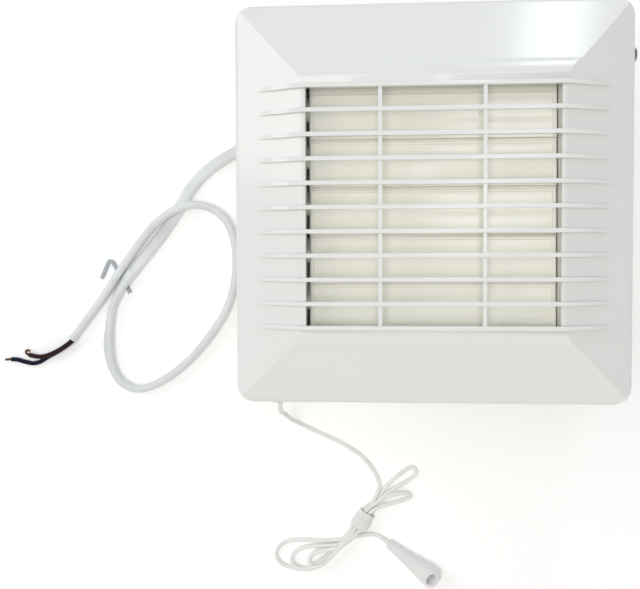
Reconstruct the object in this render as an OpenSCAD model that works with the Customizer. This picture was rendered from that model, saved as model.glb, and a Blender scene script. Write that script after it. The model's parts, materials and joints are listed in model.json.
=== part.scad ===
// Bathroom extractor fan: 100 mm axial fan with a louvred front, self-closing shutters,
// a pull-cord switch and a flat twin supply lead. It lies on its duct spigot, front up.
// Origin: centre of the spigot's open end. +Z points out of the grille, +Y to the fan's top.

/* [Front cover] */
// Width of the front cover
cover_w = 160; // [158:1:164]
// Height of the front cover
cover_h = 162; // [160:1:166]
// Height of the cover's rim above the spigot's open end
rim_z = 86; // [85:0.5:87]
// Height of the louvre bars' front edges above the spigot's open end
grille_z = 102.2; // [102:0.1:103]
// Thickness of the moulded walls
wall = 1.8; // [1.6:0.1:2]

/* [Louvres] */
// Distance from one louvre bar to the next
bar_pitch = 9.5; // [9.3:0.1:9.6]
// Thickness of a louvre bar
bar_t = 1.7; // [1.4:0.1:2]
// Width of the air opening
opening_w = 99.4; // [99:0.1:100]

/* [Shutter] */
// Number of shutter blades
blade_count = 5; // [5:1:5]
// Radius of the cranks that the link bar turns
crank_r = 8; // [7.8:0.1:8]

/* [Duct spigot] */
// Outer radius of the spigot
spigot_r = 49.3; // [49:0.1:49.5]
// Length of the spigot behind the wall face
spigot_len = 64; // [64:1:64]

/* [Supply lead] */
// Width of the flat lead
flex_w = 6; // [5.8:0.1:6.2]
// Thickness of the flat lead
flex_t = 3.8; // [3.6:0.1:4]

/* [Pull cord] */
// Diameter of the pull cord
cord_d = 2; // [1.6:0.1:2.2]

/* [Hidden] */
$fn = 64;

white = [0.93, 0.94, 0.93];
ivory = [0.90, 0.89, 0.83];
off_white = [0.88, 0.87, 0.82];
steel = [0.62, 0.63, 0.65];
zinc = [0.75, 0.76, 0.78];
brass = [0.80, 0.65, 0.32];
copper = [0.75, 0.42, 0.25];
black = [0.09, 0.09, 0.10];

// Front cover and casing. The cover's middle stands a little above the spigot's axis.
cover_rise = 1.5;
corner_r = 8.5;
rim_r = 2.4;
skirt_z = spigot_len + 0.8;
plate_t = 2.5;
plate_z = spigot_len + plate_t;
case_gap = 1.7;
case_w = cover_w - 2 * (wall + case_gap);
case_h = cover_h - 2 * (wall + case_gap);
case_wall = 2;
case_top_z = 83;

// Louvres
bar_count = 11;
bar_depth = 3.6;
bar_reach = 72;
brow_z = grille_z - 2.6;
brow_w = 104;
opening_h = bar_pitch * (bar_count - 1) + bar_t;
rib_x = 20.3;
rib_t = 1.6;
throat_z = 94;
throat_t = 1.6;

// Shutter
blade_pitch = 2 * bar_pitch;
blade_len = 98;
pivot_z = 86.5;
pivot_r = 1.5;
pin_r = 1.2;
run = 0.06;
blade_t = 1.4;
blade_lift = 2.5;
blade_lean = 6;
blade_up = 10.9;
blade_down = 10.6;
crank_a = 39;
arm_t = 2;
link_x = -53.6;
link_t = 2.2;
link_w = 4.4;
link_y = crank_r * sin(crank_a);
link_z = pivot_z - crank_r * cos(crank_a);
frame_left = -54.5;
frame_right = 49.4;
frame_half = 50.4;
frame_t = 2;
frame_top = 93;
ear_z = 77;
ear_t = 3;
frame_ears = [[-8, 57.5], [44, 57.5], [-40, -57.5], [44, -57.5]];

// Actuator, on the left of the shutter frame
act_x = -65.5;
act_z = 78.5;
act_r = 6.2;
act_y = [8, 41];
tab_y = -1.6;
tab_t = 2.4;
tab_gap = 0.3;
plunger_r = 2;

// Motor and impeller
spider_z = 48;
spider_t = 3;
stack_z = 28;
stack_t = 15;
rotor_r = 13;
air_gap = 0.5;
shaft_r = 2;
motor_screw_y = 18;
cup_r = 6.5;
bush_r = 4.5;
hub_r = 15;
hub_z = [55, 74.5];
fan_r = 45.3;
fan_blades = 7;

// Flat lead. It drops from the grommet, lies in one loop on the floor and crosses over itself.
grommet = [-64, 62];
grommet_z = spigot_len;
flex_route = [
    [-64, 62, 64], [-64, 62, 56], [-64, 62, 48], [-64.2, 61.6, 40], [-65.6, 59.2, 30.5],
    [-69, 53.8, 20.5], [-75, 46.2, 12], [-82.5, 39, 6], [-91, 33, 2.8], [-100, 28, 2],
    [-108.6, 22, 2], [-115.8, 14.4, 2], [-121.2, 6, 2], [-126.4, -2.2, 2],
    [-132.4, -10.4, 2], [-139.2, -18.8, 2], [-146.2, -27.4, 3.1], [-152.2, -36, 3.6],
    [-156.2, -45, 3.1], [-158, -54.6, 3.1], [-158.6, -64.6, 3.1], [-157, -74.4, 3.1],
    [-152.2, -82.2, 3.1], [-144.8, -85.6, 3.1], [-136.8, -84.2, 3.1], [-128.4, -79.8, 3.1],
    [-120, -73.4, 3.1], [-112, -65.2, 3.1], [-104.6, -55.8, 3.1], [-98.6, -45.6, 3.1],
    [-94.8, -34.4, 3.1], [-93.6, -22.6, 3.1], [-94.8, -11, 3.2], [-98.8, -1.6, 3.8],
    [-105.8, 4, 5.2], [-114, 5.6, 6.8], [-122.4, 3.6, 7.3], [-130, -1, 6.9],
    [-137, -7.4, 5.4], [-143.2, -14.8, 4.4], [-149, -22.6, 4], [-154.2, -30.2, 4],
    [-159, -37.4, 3.7], [-164.6, -45, 3.2], [-170.6, -52.8, 3.1], [-176.8, -61, 3.1]
];
// How far the lead is rolled onto its edge at each point of the route
flex_rolls = [for (i = [0 : len(flex_route) - 1]) i < 16 ? 0 : min(90, (i - 15) * 30)];
brown_route = [
    [-177.2, -61.7, 4.3], [-181, -64.6, 4], [-185.4, -67.2, 3.8], [-189.6, -69, 3.6],
    [-194, -69.9, 2.6], [-198, -69.6, 1.6], [-200.2, -69.1, 1.3]
];
blue_route = [
    [-177.2, -61.7, 1.9], [-181.4, -65, 1.6], [-186, -67.8, 1.3], [-190.6, -70.2, 1.2],
    [-194.6, -72.6, 1.2], [-198.4, -73.4, 1.2], [-202.6, -72.6, 1.2], [-206.4, -71.6, 1.2],
    [-209.4, -71.4, 1.2]
];
brown_tip = [
    [-200.2, -69.1, 1.3], [-201.6, -68.6, 1.2], [-201.9, -67.4, 1.3], [-200.9, -66.7, 1.5],
    [-199.8, -67.2, 1.7]
];
blue_tip = [[-209.4, -71.4, 1.2], [-211, -71.5, 1.1], [-212.8, -71.7, 0.9]];
core_d = 2.2;
strand_d = 1.1;

// Pull cord. It leaves the bottom of the casing, falls to the floor and ends in a tied hank.
cord_x = -63.6;
cord_z = 73;
cord_route = [
    [cord_x, -62, cord_z], [cord_x, -70, cord_z], [cord_x, -78, cord_z], [cord_x, -82, 72.9],
    [-63.6, -84.4, 71.8], [-63.7, -85.8, 69], [-64, -86.8, 64.5], [-64.4, -88.5, 56],
    [-64.8, -90.6, 46], [-65.3, -92.8, 36], [-65.8, -95, 26], [-66, -97.2, 17],
    [-65.6, -99.4, 9.4], [-64.2, -101.2, 4.4], [-61.6, -103, 1.8], [-57.6, -105, 1.1],
    [-51, -108, 1.1],
    [-44, -111.2, 1.1], [-37.2, -115, 1.1], [-31.4, -119.4, 1.1], [-27, -124.6, 1.1],
    [-24.2, -130, 1.1], [-23.4, -134, 1.6]
];
tail_route = [
    [-33.6, -158, 2.4], [-30.6, -157.6, 1.6], [-26.8, -157.4, 1.2], [-22.8, -158.6, 1.6],
    [-20.4, -160.2, 2.2], [-18.8, -161.4, 2.4]
];
hank_at = [-31.6, -149.8];
hank_dir = 58;
hank_ends = [[-72, -166], [-9, -126]];
tie_len = 9;
tie_w = 8;
tie_h = 5.2;
tie_t = 0.8;
handle_at = [-19, -161.4];
handle_dir = -36.5;
handle_len = 30;
handle_widest = 26.2;
handle_r = [2.3, 5.2];

// Pull switch
switch_box = [19, 20, 11.6];
contact_x = [3.6, 12.4];
switch_at = [-73.2, -72.4, plate_z];
slider_travel = 5;

// ---------------------------------------------------------------- helpers

// A rectangle with round corners
module round_rect(w, h, r) {
    square([w - 2 * r, h], center = true);
    square([w, h - 2 * r], center = true);
    for (x = [-1, 1], y = [-1, 1])
        translate([x * (w / 2 - r), y * (h / 2 - r)])
            circle(r);
}

// A block with round corners from z = a to z = b, centred on the cover
module cover_block(w, h, r, a, b) {
    translate([0, cover_rise, a])
        linear_extrude(b - a)
            round_rect(w, h, r);
}

// A bore or pin along +X from x = a to x = b
module along_x(r, a, b) {
    translate([a, 0, 0])
        rotate([0, 90, 0])
            cylinder(r = r, h = b - a);
}

// A bore or pin along +Y from y = a to y = b
module along_y(r, a, b) {
    translate([0, a, 0])
        rotate([-90, 0, 0])
            cylinder(r = r, h = b - a);
}

// A ring around Z
module ring(r_out, r_in, h) {
    difference() {
        cylinder(r = r_out, h = h);
        translate([0, 0, -1])
            cylinder(r = r_in, h = h + 2);
    }
}

// A pan-head screw, head up, with its head's underside at z = 0
module pan_screw(r, length, head_r, head_h) {
    translate([0, 0, -length])
        cylinder(r = r, h = length + 0.1);
    difference() {
        cylinder(r1 = head_r, r2 = head_r * 0.78, h = head_h);
        for (a = [0, 90])
            rotate([0, 0, a])
                translate([-head_r * 0.55, -head_r * 0.11, head_h * 0.45])
                    cube([head_r * 1.1, head_r * 0.22, head_h]);
    }
}

// A coil spring of ring turns along +Y: the turns stay apart, so it reads as a wound wire
module spring_y(r, wire_r, length, turns) {
    step = (length - 2 * wire_r) / (turns - 1);
    for (i = [0 : turns - 1])
        translate([0, wire_r + i * step, 0])
            rotate([90, 0, 0])
                rotate_extrude()
                    translate([r, 0])
                        circle(wire_r, $fn = 24);
    for (i = [0 : turns - 2])
        rotate([0, 90 + 180 * (i % 2), 0])
            translate([r, wire_r + i * step, 0])
                rotate([-90, 0, 0])
                    cylinder(r = wire_r * 0.8, h = step, $fn = 24);
}

function unit(v) = v / norm(v);
function heading(p, i) =
    unit(p[min(i + 1, len(p) - 1)] - p[max(i - 1, 0)]);
function sides_of(p, s, i = 0) =
    i == len(p) ? [] : let (t = heading(p, i), u = unit(s - t * (s * t)))
        concat([u], sides_of(p, u, i + 1));

// A level direction across the route at point i. Where the route is upright, the next one's
function level_side(p, i) =
    let (t = heading(p, i), s = cross([0, 0, 1], t))
        norm(s) < 0.3 && i < len(p) - 1 ? level_side(p, i + 1) : unit(s);
function level_sides(p) = [
    for (i = [0 : len(p) - 1])
        let (t = heading(p, i), s = level_side(p, i))
            unit(s - t * (s * t))
];

// A tube of an oval section swept along a route: w across, t thick. first_side points across
// its start, or is [] to keep w level, and rolls turns it about the route at each point
module tube(p, w, t, sides, first_side = [0.001, 0.002, 1], rolls = []) {
    n = len(p);
    across = first_side == [] ? level_sides(p) : sides_of(p, first_side);
    points = [
        for (i = [0 : n - 1])
            let (a = len(rolls) > i ? rolls[i] : 0, q = across[i], v = cross(heading(p, i), q),
                s = q * cos(a) + v * sin(a), u = v * cos(a) - q * sin(a))
                for (k = [0 : sides - 1])
                    let (a = 360 * k / sides)
                        p[i] + s * w / 2 * cos(a) + u * t / 2 * sin(a)
    ];
    walls = [
        for (i = [0 : n - 2], k = [0 : sides - 1])
            let (a = i * sides + k, b = i * sides + (k + 1) % sides)
                each [[a, b, b + sides], [a, b + sides, a + sides]]
    ];
    first = [for (k = [1 : sides - 2]) [0, k + 1, k]];
    last = [for (k = [1 : sides - 2]) [0, k, k + 1] + [1, 1, 1] * (n - 1) * sides];
    polyhedron(points, [for (f = concat(walls, first, last)) [f[0], f[2], f[1]]]);
}

// ---------------------------------------------------------------- front cover

// Outline of the cover's left and right slopes, across X: d moves it inwards
function slope_x(d) = let (x0 = cover_w / 2 - d, x1 = brow_w / 2)
    concat(
        [[-x0, skirt_z - 5], [x0, skirt_z - 5]],
        [for (a = [0 : 22.5 : 67.5]) [x0 - rim_r + rim_r * cos(a), rim_z - d - rim_r + rim_r * sin(a)]],
        [[x1, brow_z - d], [-x1, brow_z - d]],
        [for (a = [112.5 : 22.5 : 180]) [-x0 + rim_r + rim_r * cos(a), rim_z - d - rim_r + rim_r * sin(a)]]
    );

// Outline of the cover's top and bottom slopes, across Y: the last third rounds over to flat
brow_steps = 8;
function brow(y0, y1, d) = [
    for (i = [0 : brow_steps])
        let (s = 0.7 + 0.3 * i / brow_steps, f = i / brow_steps)
            [y0 + (y1 - y0) * s, rim_z - d + (brow_z - rim_z) * (0.76 + 0.48 * f * 0.99 - 0.24 * f * f)]
];
function slope_y(d) = let (
        t = cover_h / 2 + cover_rise - d,
        b = cover_rise - cover_h / 2 + d,
        edge = opening_h / 2)
    concat(
        [[b, skirt_z - 5], [t, skirt_z - 5]],
        [for (a = [0 : 22.5 : 67.5]) [t - rim_r + rim_r * cos(a), rim_z - d - rim_r + rim_r * sin(a)]],
        brow(t - rim_r, edge, d),
        [for (i = [brow_steps : -1 : 0]) brow(b + rim_r, -edge, d)[i]],
        [for (a = [112.5 : 22.5 : 180]) [b + rim_r + rim_r * cos(a), rim_z - d - rim_r + rim_r * sin(a)]]
    );

// The cover's solid outer shape, or its inside when d is the wall's thickness
module pillow(d) {
    intersection() {
        cover_block(cover_w - 2 * d, cover_h - 2 * d, corner_r - d, skirt_z - d, grille_z);
        translate([0, 100, 0])
            rotate([90, 0, 0])
                linear_extrude(200)
                    polygon(slope_x(d));
        rotate([90, 0, 90])
            translate([0, 0, -100])
                linear_extrude(200)
                    polygon(slope_y(d));
    }
}

// Height of the left and right slopes at a distance x from the middle
function slope_height(x) =
    rim_z + (brow_z - rim_z) * (cover_w / 2 - rim_r - x) / (cover_w / 2 - rim_r - brow_w / 2);

// Outline of one louvre bar seen from below: its ends taper into the slopes
module bar_outline() {
    knee = bar_reach - 7;
    back = grille_z - bar_depth;
    polygon([
        [-bar_reach, slope_height(bar_reach) - 0.3], [-brow_w / 2, brow_z - 1], [-opening_w / 2, back],
        [opening_w / 2, back], [brow_w / 2, brow_z - 1], [bar_reach, slope_height(bar_reach) - 0.3],
        [knee, slope_height(knee) + 1.9], [brow_w / 2 - 1, grille_z], [-brow_w / 2 + 1, grille_z],
        [-knee, slope_height(knee) + 1.9]
    ]);
}

module front_cover() {
    color(white) {
        difference() {
            pillow(0);
            pillow(wall);
            translate([-opening_w / 2, -opening_h / 2, throat_z - 10])
                cube([opening_w, opening_h, 30]);
            translate([0, 61.5, 76])
                along_x(2.2, 70, 90);
            translate([cord_x, 0, cord_z])
                along_y(3.2, -90, -70);
        }
        // wall round the air opening
        difference() {
            translate([-opening_w / 2 - throat_t, -opening_h / 2 - throat_t, throat_z])
                cube([opening_w + 2 * throat_t, opening_h + 2 * throat_t, brow_z - throat_z - 0.8]);
            translate([-opening_w / 2, -opening_h / 2, throat_z - 1])
                cube([opening_w, opening_h, 30]);
        }
        // louvre bars
        for (i = [0 : bar_count - 1])
            translate([0, (i - (bar_count - 1) / 2) * bar_pitch + bar_t / 2, 0])
                rotate([90, 0, 0])
                    linear_extrude(bar_t)
                        bar_outline();
        // upright ribs, a little behind the bars' front edges
        for (x = [-rib_x, rib_x])
            translate([x - rib_t / 2, -opening_h / 2, grille_z - bar_depth])
                cube([rib_t, opening_h, bar_depth - 0.8]);
        // hooks that hold the cover's left side on the casing
        for (y = [-34, 37])
            translate([-cover_w / 2 + 0.5, y - 5, spigot_len + 12])
                cube([wall + case_gap - 0.7, 10, 1.5]);
    }
}

module cover_screw() {
    color(zinc)
        translate([cover_w / 2 + 0.5, 61.5, 76])
            rotate([0, 90, 0])
                pan_screw(1.75, 12, 3.5, 1.6);
}

module cover_washer() {
    color(zinc)
        translate([cover_w / 2, 61.5, 76])
            rotate([0, 90, 0])
                ring(4.1, 1.9, 0.5);
}

// ---------------------------------------------------------------- rear casing

wall_holes = [for (x = [-68, 68], y = [-46, 46]) [x, y]];

module rear_casing() {
    color(off_white)
        difference() {
            union() {
                cover_block(case_w, case_h, 7, spigot_len, plate_z);
                difference() {
                    cover_block(case_w, case_h, 7, spigot_len + 1, case_top_z);
                    cover_block(case_w - 2 * case_wall, case_h - 2 * case_wall, 5, spigot_len, case_top_z + 1);
                }
                for (e = frame_ears)
                    translate([e[0], e[1], plate_z - 1])
                        cylinder(r = 3.8, h = ear_z - plate_z + 1);
                // screw boss for the cover
                translate([0, 61.5, 76])
                    along_x(4, 66, case_w / 2 - 1);
                translate([66, 59.5, plate_z - 1])
                    cube([8, 4, 8]);
                // posts under the lead's clamp
                for (y = [-6.5, 6.5])
                    translate([-51.5, grommet[1] + y, plate_z - 1])
                        cylinder(r = 2.8, h = 4);
                // stop and peg for the return spring
                translate([act_x - 5, -31, plate_z - 1])
                    cube([10, 3, 17]);
                translate([act_x, 0, act_z])
                    along_y(2.3, -29, -23.5);
            }
            translate([0, 0, spigot_len - 1])
                cylinder(r = spigot_r + 1.15, h = 10);
            for (p = wall_holes)
                translate([p[0], p[1], spigot_len - 1])
                    cylinder(r = 2.5, h = 6);
            for (e = frame_ears)
                translate([e[0], e[1], spigot_len + 2])
                    cylinder(r = 1.35, h = 20);
            translate([grommet[0], grommet[1], spigot_len - 1]) {
                cylinder(r = 5, h = 6);
                cylinder(r = 7, h = 2);
            }
            translate([0, 61.5, 76])
                along_x(1.8, 60, 90);
            for (y = [-6.5, 6.5])
                translate([-51.5, grommet[1] + y, spigot_len + 1.5])
                    cylinder(r = 1.2, h = 10);
            for (p = [[-50.5, -67], [-50.5, -60]])
                translate([p[0], p[1], spigot_len + 0.8])
                    cylinder(r = 1.2, h = 10);
            translate([cord_x, 0, cord_z])
                along_y(3, -80, -73);
            // notches for the cover's hooks
            for (y = [-34, 37])
                translate([-case_w / 2 - 1, y - 5.5, spigot_len + 11])
                    cube([2, 11, 3.5]);
        }
}

// Tube that carries the motor and makes the spigot behind the wall face
module duct_tube() {
    color(off_white) {
        ring(spigot_r, spigot_r - 2, spigot_len);
        translate([0, 0, spigot_len])
            ring(spigot_r + 1.1, spigot_r - 2, plate_t);
    }
}

// Motor mount: a ring on four flat struts, with a foot on each strut's end
module motor_mount() {
    color(off_white)
        translate([0, 0, spider_z])
            spider();
}

module spider() {
    difference() {
        intersection() {
            union() {
                cylinder(r = 22, h = spider_t);
                for (a = [45 : 90 : 315])
                    rotate([0, 0, a]) {
                        translate([15, -3, 0])
                            cube([spigot_r - 15, 6, spider_t]);
                        translate([spigot_r - 6.5, -5, -3])
                            cube([6, 10, 9]);
                    }
            }
            translate([0, 0, -10])
                cylinder(r = spigot_r - 2.05, h = 30);
        }
        translate([0, 0, -1])
            cylinder(r = cup_r + 0.5, h = spider_t + 2);
        for (y = [-motor_screw_y, motor_screw_y])
            translate([0, y, -1])
                cylinder(r = 1.7, h = spider_t + 2);
    }
}

// ---------------------------------------------------------------- shutter

function blade_y(i) = ((blade_count - 1) / 2 - i) * blade_pitch;

module shutter_frame() {
    color(off_white)
        difference() {
            union() {
                translate([frame_left - frame_t, -frame_half - frame_t, plate_z])
                    cube([frame_right - frame_left + 2 * frame_t, 2 * (frame_half + frame_t), frame_top - plate_z]);
                for (e = frame_ears) {
                    translate([e[0], e[1], ear_z])
                        cylinder(r = 4, h = ear_t);
                    translate([e[0] - 4, min(e[1], sign(e[1]) * (frame_half + 1)), ear_z])
                        cube([8, abs(e[1]) - frame_half - 1, ear_t]);
                }
            }
            translate([frame_left, -frame_half, plate_z - 1])
                cube([frame_right - frame_left, 2 * frame_half, 40]);
            for (i = [0 : blade_count - 1])
                translate([0, blade_y(i), pivot_z])
                    along_x(pivot_r + run, -60, 60);
            for (e = frame_ears)
                translate([e[0], e[1], ear_z - 1])
                    cylinder(r = 1.8, h = 10);
            // slot for the link bar's tab
            translate([frame_left - frame_t - 1, tab_y - tab_t - 11.4, 74])
                cube([frame_t + 2, tab_t + 12.6, 9.4]);
        }
}

module shutter_frame_screws() {
    color(zinc)
        for (e = frame_ears)
            translate([e[0], e[1], ear_z + ear_t])
                pan_screw(1.3, 11, 2.8, 2);
}

// One blade about its own pivot axis, closed
module blade_shape() {
    half = blade_len / 2;
    translate([0, 0, blade_lift])
        rotate([-blade_lean, 0, 0]) {
            translate([-half, -blade_down, -blade_t / 2])
                cube([blade_len, blade_up + blade_down, blade_t]);
            translate([0, blade_up - 4.2, blade_t / 2 - 0.1])
                along_x(0.7, -half + 0.8, half - 0.8);
            for (x = [-half + 0.9, half - 0.9])
                translate([x, 0, blade_t / 2 - 0.1])
                    along_y(0.9, -blade_down + 0.4, blade_up - 4.2);
        }
    // end webs that carry the pivots
    for (x = [-half, half - arm_t])
        translate([x, -3, -1])
            cube([arm_t, 6, blade_lift]);
    along_x(2.6, half - arm_t, half);
    along_x(pivot_r, half - 0.1, frame_right + frame_t - 0.1);
    along_x(pivot_r, frame_left - frame_t + 0.3, -half - arm_t + 0.1);
    // crank on the left end, outside the blade, with its pin in the link bar
    along_x(3, -half - arm_t, -half + arm_t);
    rotate([crank_a, 0, 0]) {
        translate([-half - arm_t, -2.2, -crank_r])
            cube([arm_t, 4.4, crank_r]);
        translate([0, 0, -crank_r]) {
            along_x(2.2, -half - arm_t, -half);
            along_x(pin_r, link_x - 0.5, -half - arm_t + 0.1);
        }
    }
}

module shutter_blade(i) {
    color(ivory)
        translate([0, blade_y(i), pivot_z])
            blade_shape();
}

module shutter_link() {
    reach = (blade_count - 1) / 2 * blade_pitch + 4;
    color(off_white)
        difference() {
            union() {
                translate([link_x, link_y - reach, link_z - link_w / 2])
                    cube([link_t, 2 * reach, link_w]);
                translate([act_x - 4, tab_y - tab_t, link_z - link_w / 2])
                    cube([link_x + 0.5 - act_x + 4, tab_t, link_w]);
            }
            for (i = [0 : blade_count - 1])
                translate([0, blade_y(i) + link_y, link_z])
                    along_x(pin_r + run, -60, -45);
        }
}

// ---------------------------------------------------------------- actuator

module actuator_body() {
    color(steel)
        translate([act_x, 0, act_z])
            difference() {
                union() {
                    along_y(act_r, act_y[0] + 4, act_y[1]);
                    along_y(3.6, act_y[0], act_y[0] + 4.5);
                    along_y(1, act_y[1] - 0.5, act_y[1] + 2);
                }
                along_y(plunger_r + run, act_y[0] - 1, act_y[0] + 26);
            }
}

module actuator_clip() {
    color(off_white)
        translate([act_x, 0, 0])
            difference() {
                translate([-7.6, 18, plate_z])
                    cube([15.2, 14, act_z - plate_z + 3]);
                translate([0, 0, act_z])
                    along_y(act_r + 0.04, 0, 50);
                translate([-act_r * 0.9, 17, act_z])
                    cube([act_r * 1.8, 16, 20]);
            }
}

module actuator_plunger() {
    color(brass)
        translate([act_x, 0, act_z])
            along_y(plunger_r, tab_y + tab_gap, act_y[0] + 15);
}

module return_spring() {
    color(steel)
        translate([act_x, tab_y - tab_t - 24, act_z])
            spring_y(3, 0.4, 24, 9);
}

// ---------------------------------------------------------------- motor and impeller

module impeller() {
    color(off_white)
        difference() {
            union() {
                translate([0, 0, hub_z[0]])
                    ring(hub_r, hub_r - 1.8, hub_z[1] - hub_z[0]);
                translate([0, 0, hub_z[1] - 4.5])
                    cylinder(r = hub_r - 0.5, h = 3);
                translate([0, 0, hub_z[0] + 3])
                    cylinder(r = 4.2, h = hub_z[1] - hub_z[0] - 5);
                for (k = [0 : fan_blades - 1])
                    rotate([0, 0, 360 * k / fan_blades])
                        fan_blade();
            }
            translate([0, 0, hub_z[0] - 1])
                cylinder(r = shaft_r + 0.02, h = 30);
        }
}

// One pitched fan blade, from the hub to the tip circle
module fan_blade() {
    intersection() {
        translate([0, 0, (hub_z[0] + hub_z[1]) / 2])
            rotate([38, 0, 0])
                translate([hub_r - 1, -13, -0.8])
                    cube([fan_r, 26, 1.6]);
        translate([0, 0, hub_z[0]])
            ring(fan_r, hub_r - 1, 30);
    }
}

module impeller_clip() {
    color(steel)
        translate([0, 0, hub_z[1] - 1.5])
            ring(4.5, shaft_r + 0.02, 0.8);
}

module rotor_shaft() {
    color(steel)
        translate([0, 0, 18])
            cylinder(r = shaft_r, h = hub_z[1] - 18.2);
}

module rotor_core() {
    color(zinc)
        translate([0, 0, stack_z - 0.5])
            ring(rotor_r, shaft_r + 0.02, stack_t + 1);
}

module thrust_washers() {
    color(black)
        for (z = [stack_z - 1.3, stack_z + stack_t + 0.6])
            translate([0, 0, z])
                ring(3.8, shaft_r + run, 0.7);
}

module bearing_bushes() {
    color(brass)
        for (z = [20.5, 45])
            translate([0, 0, z])
                ring(bush_r, shaft_r + run, 6);
}

// A bridge over the stack that holds one bush in its cup: the cup points along +Z
module bearing_bracket() {
    difference() {
        union() {
            translate([-6, -22, 3.5])
                cube([12, 44, 1.5]);
            for (y = [-22, 15.5])
                translate([-6, y, 0])
                    cube([12, 6.5, 5]);
            translate([0, 0, 1.6])
                cylinder(r = cup_r, h = 6.4);
        }
        translate([0, 0, -1])
            cylinder(r = bush_r + 0.02, h = 12);
        for (y = [-motor_screw_y, motor_screw_y])
            translate([0, y, -1])
                cylinder(r = 1.7, h = 8);
    }
}

module front_bearing_bracket() {
    color(zinc)
        translate([0, 0, stack_z + stack_t])
            bearing_bracket();
}

module rear_bearing_bracket() {
    color(zinc)
        translate([0, 0, stack_z])
            mirror([0, 0, 1])
                bearing_bracket();
}

module stator_core() {
    color(steel)
        translate([0, 0, stack_z])
            difference() {
                union() {
                    translate([-21, -22, 0])
                        cube([43, 44, stack_t]);
                    translate([-38, -22, 0])
                        cube([10, 44, stack_t]);
                    for (y = [-22, 15])
                        translate([-38, y, 0])
                            cube([20, 7, stack_t]);
                }
                translate([0, 0, -1])
                    cylinder(r = rotor_r + air_gap, h = stack_t + 2);
                for (y = [-motor_screw_y, motor_screw_y])
                    translate([0, y, -1])
                        cylinder(r = 1.7, h = stack_t + 2);
                for (y = [-14.1, 11.9])
                    translate([14.9, y, -1])
                        cube([2.2, 2.2, stack_t + 2]);
            }
}

module shading_rings() {
    color(copper)
        for (y = [-14, 12])
            difference() {
                translate([15, y, stack_z - 2])
                    cube([9.2, 2, stack_t + 4]);
                translate([17, y - 1, stack_z])
                    cube([5.2, 4, stack_t]);
            }
}

// Bobbin round the stack's far leg, with a flange at each end
module coil_bobbin() {
    color(black)
        difference() {
            union() {
                translate([-39.2, -13.5, stack_z - 1.2])
                    cube([12.4, 27, stack_t + 2.4]);
                for (y = [-14.6, 13.2])
                    translate([-43, y, stack_z - 5])
                        cube([20.5, 1.4, stack_t + 10]);
            }
            translate([-38, -20, stack_z])
                cube([10, 40, stack_t]);
        }
}

module coil_winding() {
    color(copper)
        difference() {
            translate([-42.4, -13, stack_z - 4.4])
                cube([19.2, 26, stack_t + 8.8]);
            translate([-39.3, -14, stack_z - 1.3])
                cube([12.6, 28, stack_t + 2.6]);
        }
}

module motor_screws() {
    color(zinc)
        for (y = [-motor_screw_y, motor_screw_y])
            translate([0, y, spider_z + spider_t])
                pan_screw(1.6, 31, 2.9, 2);
}

module motor_nuts() {
    color(zinc)
        for (y = [-motor_screw_y, motor_screw_y])
            translate([0, y, stack_z - 5 - 2.4])
                difference() {
                    cylinder(r = 3.1, h = 2.4, $fn = 6);
                    translate([0, 0, -1])
                        cylinder(r = 1.62, h = 5);
                }
}

// ---------------------------------------------------------------- wiring

module terminal_block() {
    color(white)
        difference() {
            translate([-42, 57, plate_z])
                cube([27, 14, 11]);
            for (x = [-37.5, -28.5, -19.5]) {
                translate([x, 0, plate_z + 4])
                    along_y(2, 50, 80);
                for (y = [60.5, 67.5])
                    translate([x, y, plate_z + 5])
                        cylinder(r = 2, h = 10);
            }
        }
}

module terminal_screws() {
    color(brass)
        for (x = [-37.5, -28.5, -19.5], y = [60.5, 67.5])
            translate([x, y, plate_z + 6.2])
                difference() {
                    cylinder(r = 1.8, h = 3);
                    translate([-2, -0.3, 2.2])
                        cube([4, 0.6, 2]);
                }
}

module flex_grommet() {
    color(white)
        translate([grommet[0], grommet[1], 0])
            difference() {
                union() {
                    translate([0, 0, grommet_z])
                        cylinder(r = 6.95, h = 1);
                    translate([0, 0, grommet_z])
                        cylinder(r = 4.95, h = 3.9);
                    translate([0, 0, plate_z])
                        cylinder(r = 6.4, h = 1.4);
                }
                translate([0, 0, grommet_z - 1])
                    cylinder(r = 3.1, h = 10);
            }
}

// The lead inside the casing: up through the grommet, over to the clamp
inner_route = [
    [-64, 62, 64], [-64, 62, 66.5], [-63.5, 62, 69], [-61.8, 62, 71.2], [-59, 62, 72.2],
    [-54, 62, 72.4], [-50, 62, 72.4], [-46.5, 62, 72.2]
];
module inner_flex() {
    color(white)
        tube(inner_route, flex_w, flex_t, 12, [0, 1, 0]);
}

module flex_clamp() {
    color(off_white)
        translate([-51.5, grommet[1], 0])
            difference() {
                translate([-3, -9.5, plate_z + 3])
                    cube([6, 19, 6.6]);
                translate([-4, -3.05, plate_z + 2])
                    cube([8, 6.1, 5.9]);
                for (y = [-6.5, 6.5])
                    translate([0, y, plate_z])
                        cylinder(r = 1.5, h = 12);
            }
}

module clamp_screws() {
    color(zinc)
        for (y = [-6.5, 6.5])
            translate([-51.5, grommet[1] + y, plate_z + 9.6])
                pan_screw(1.15, 10, 2.3, 1.6);
}

module supply_flex() {
    color(white)
        tube(flex_route, flex_w, flex_t, 10, [], flex_rolls);
}

module brown_core() {
    color([0.36, 0.20, 0.14])
        tube(brown_route, core_d, core_d, 8);
}

module blue_core() {
    color([0.13, 0.17, 0.30])
        tube(blue_route, core_d, core_d, 8);
}

module conductor_tips() {
    color(copper) {
        tube(brown_tip, strand_d, strand_d, 8);
        tube(blue_tip, strand_d, strand_d, 8);
    }
}

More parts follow.
